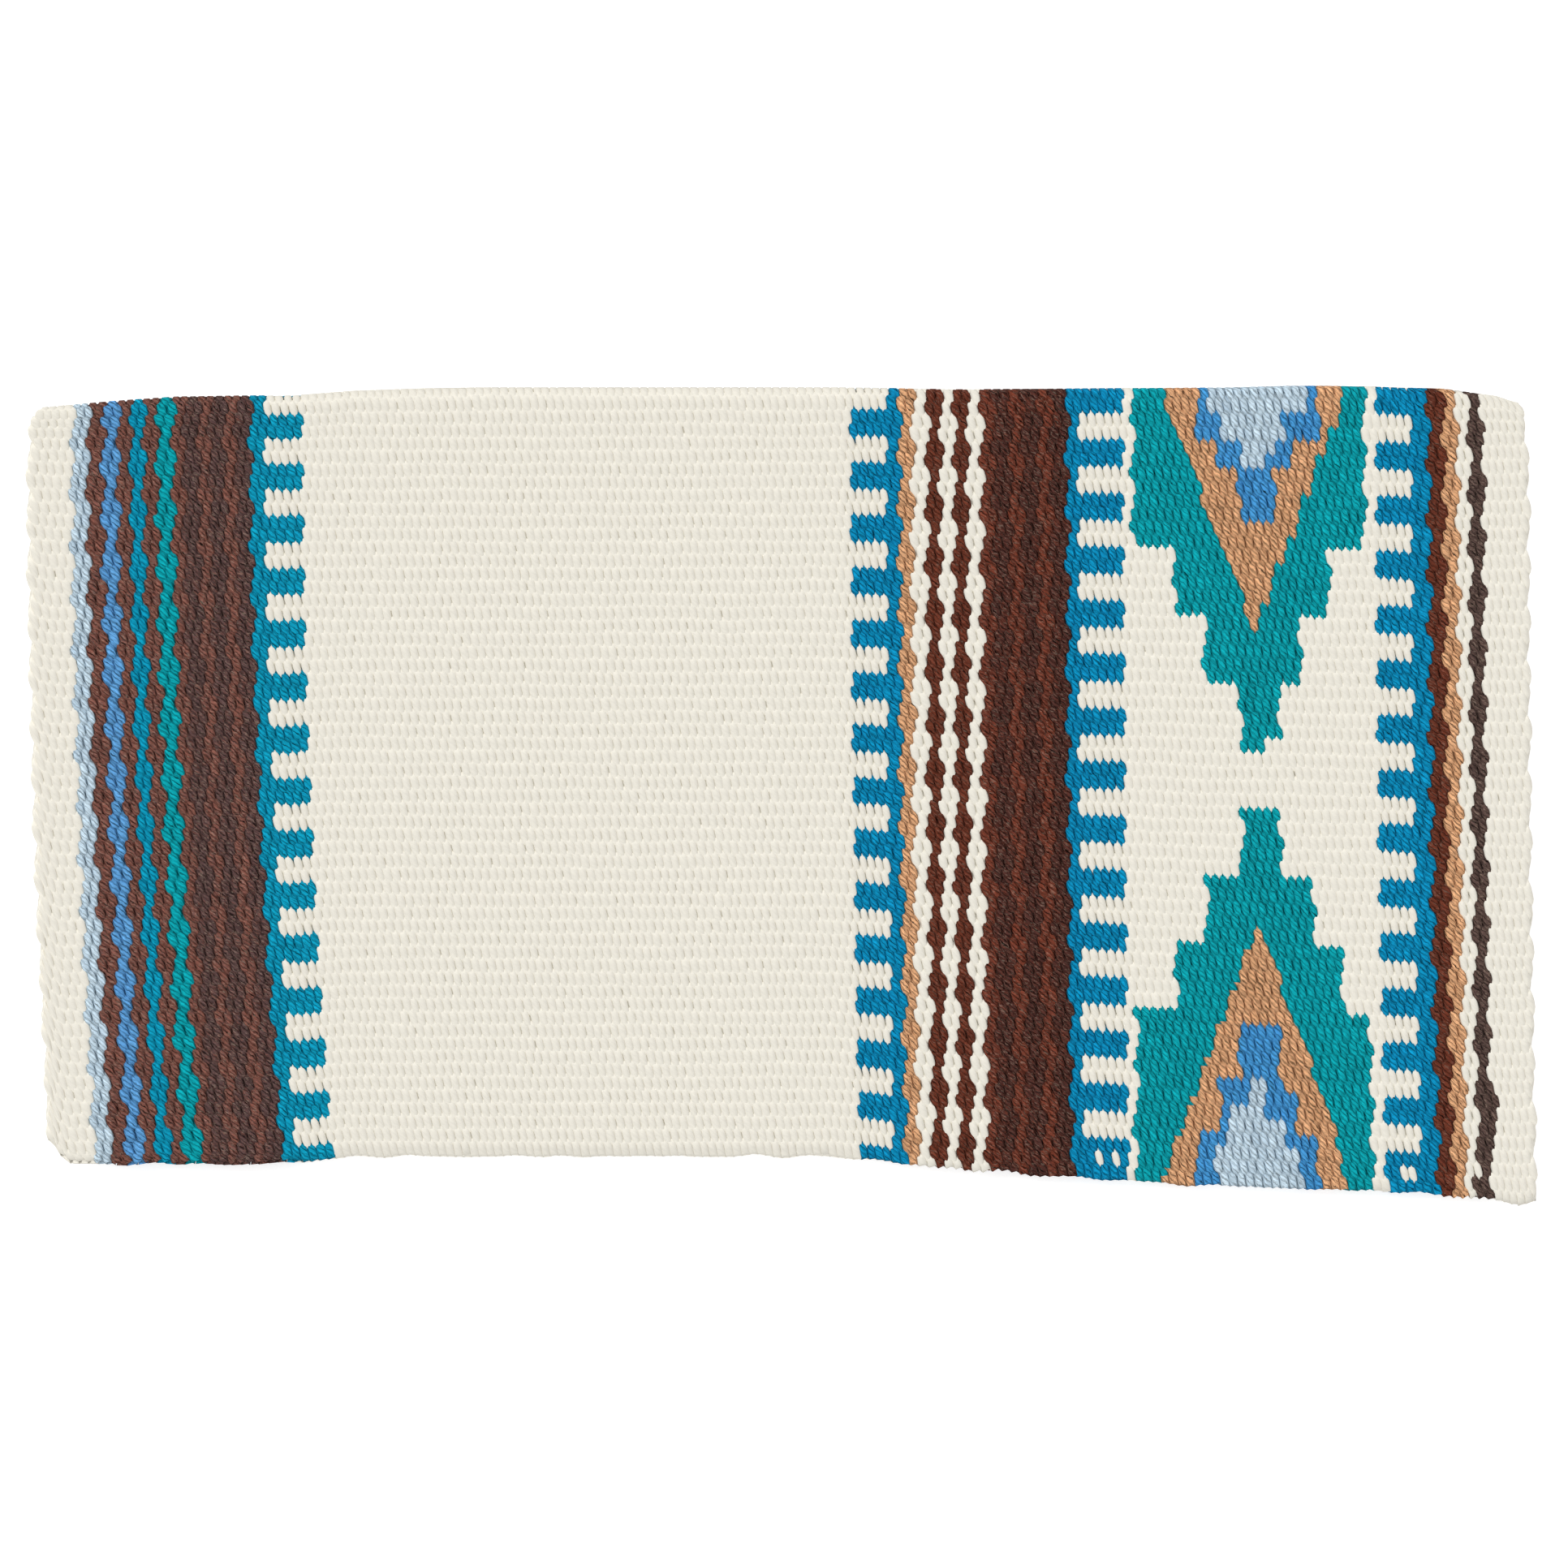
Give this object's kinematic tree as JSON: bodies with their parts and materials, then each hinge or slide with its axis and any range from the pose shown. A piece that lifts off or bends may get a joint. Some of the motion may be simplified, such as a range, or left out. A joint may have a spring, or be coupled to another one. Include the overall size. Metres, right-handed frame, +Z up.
{
  "type": "saddle blanket",
  "caption": "Heavy woven wool saddle blanket with bead stripes, comb stripes and stepped figures, folded double along the spine so that it opens flat.",
  "frame": {"origin": "centre of the folded blanket's box, on the surface it lies on", "axes": "+X along the horse's spine towards the figure panel, +Y from the hem to the fold, +Z up through both layers"},
  "size_m": [0.9692, 0.5224, 0.0203],
  "materials": {
    "cream_wool": "matte woven wool yarn",
    "pale_blue_wool": "matte woven wool yarn",
    "mid_blue_wool": "matte woven wool yarn",
    "turquoise_wool": "matte woven wool yarn",
    "comb_blue_wool": "matte woven wool yarn",
    "teal_wool": "matte woven wool yarn",
    "tan_wool": "matte woven wool yarn",
    "brown_wool": "matte woven wool yarn",
    "dark_brown_wool": "matte woven wool yarn",
    "red_brown_wool": "matte woven wool yarn"
  },
  "bodies": {
    "lower_flap": {"lower_end_band_left": "cream_wool", "lower_pale_blue_stripe": "pale_blue_wool", "lower_bead_stripes_left": "brown_wool", "lower_brown_band_left": "brown_wool", "lower_comb_1": "turquoise_wool", "lower_cream_field": "cream_wool", "lower_comb_2": "comb_blue_wool", "lower_tan_stripe_1": "tan_wool", "lower_bead_stripes_middle": "red_brown_wool", "lower_brown_band_right": "brown_wool", "lower_comb_3": "comb_blue_wool", "lower_figure_ground": "cream_wool", "lower_fold_figure_teal": "teal_wool", "lower_fold_figure_tan": "tan_wool", "lower_fold_figure_blue": "mid_blue_wool", "lower_hem_figure_teal": "teal_wool", "lower_hem_figure_tan": "tan_wool", "lower_hem_figure_blue": "mid_blue_wool", "lower_comb_4": "comb_blue_wool", "lower_red_brown_stripe": "red_brown_wool", "lower_tan_stripe_2": "tan_wool", "lower_bead_stripes_right": "dark_brown_wool", "lower_end_band_right": "cream_wool"},
    "spine": {"spine_rib": "cream_wool"},
    "upper_flap": {"upper_end_band_left": "cream_wool", "upper_pale_blue_stripe": "pale_blue_wool", "upper_brown_stripe_1": "brown_wool", "upper_mid_blue_stripe": "mid_blue_wool", "upper_brown_stripe_2": "brown_wool", "upper_turquoise_stripe": "turquoise_wool", "upper_brown_stripe_3": "brown_wool", "upper_teal_stripe": "teal_wool", "upper_brown_band_left": "brown_wool", "upper_comb_1": "turquoise_wool", "upper_cream_field": "cream_wool", "upper_comb_2": "comb_blue_wool", "upper_tan_stripe_1": "tan_wool", "upper_cream_stripe_1": "cream_wool", "upper_brown_bead_stripe_1": "red_brown_wool", "upper_cream_stripe_2": "cream_wool", "upper_brown_bead_stripe_2": "red_brown_wool", "upper_cream_stripe_3": "cream_wool", "upper_brown_band_right": "brown_wool", "upper_comb_3": "comb_blue_wool", "upper_figure_ground": "cream_wool", "upper_fold_figure_teal": "teal_wool", "upper_fold_figure_tan": "tan_wool", "upper_fold_figure_blue": "mid_blue_wool", "upper_fold_figure_pale": "pale_blue_wool", "upper_hem_figure_teal": "teal_wool", "upper_hem_figure_tan": "tan_wool", "upper_hem_figure_blue": "mid_blue_wool", "upper_hem_figure_pale": "pale_blue_wool", "upper_comb_4": "comb_blue_wool", "upper_red_brown_stripe": "red_brown_wool", "upper_tan_stripe_2": "tan_wool", "upper_cream_stripe_4": "cream_wool", "upper_dark_bead_stripe": "dark_brown_wool", "upper_end_band_right": "cream_wool"}
  },
  "joints": [
    {"name": "fold_lower", "type": "hinge", "parent": "lower_flap", "child": "spine", "pos_m": [0, 0.25513, 0.00611], "axis": [-1, 0, 0], "range_deg": [0, 90]},
    {"name": "fold_upper", "type": "hinge", "parent": "spine", "child": "upper_flap", "pos_m": [0, 0.25513, 0.01419], "axis": [-1, 0, 0], "range_deg": [0, 90]}
  ]
}
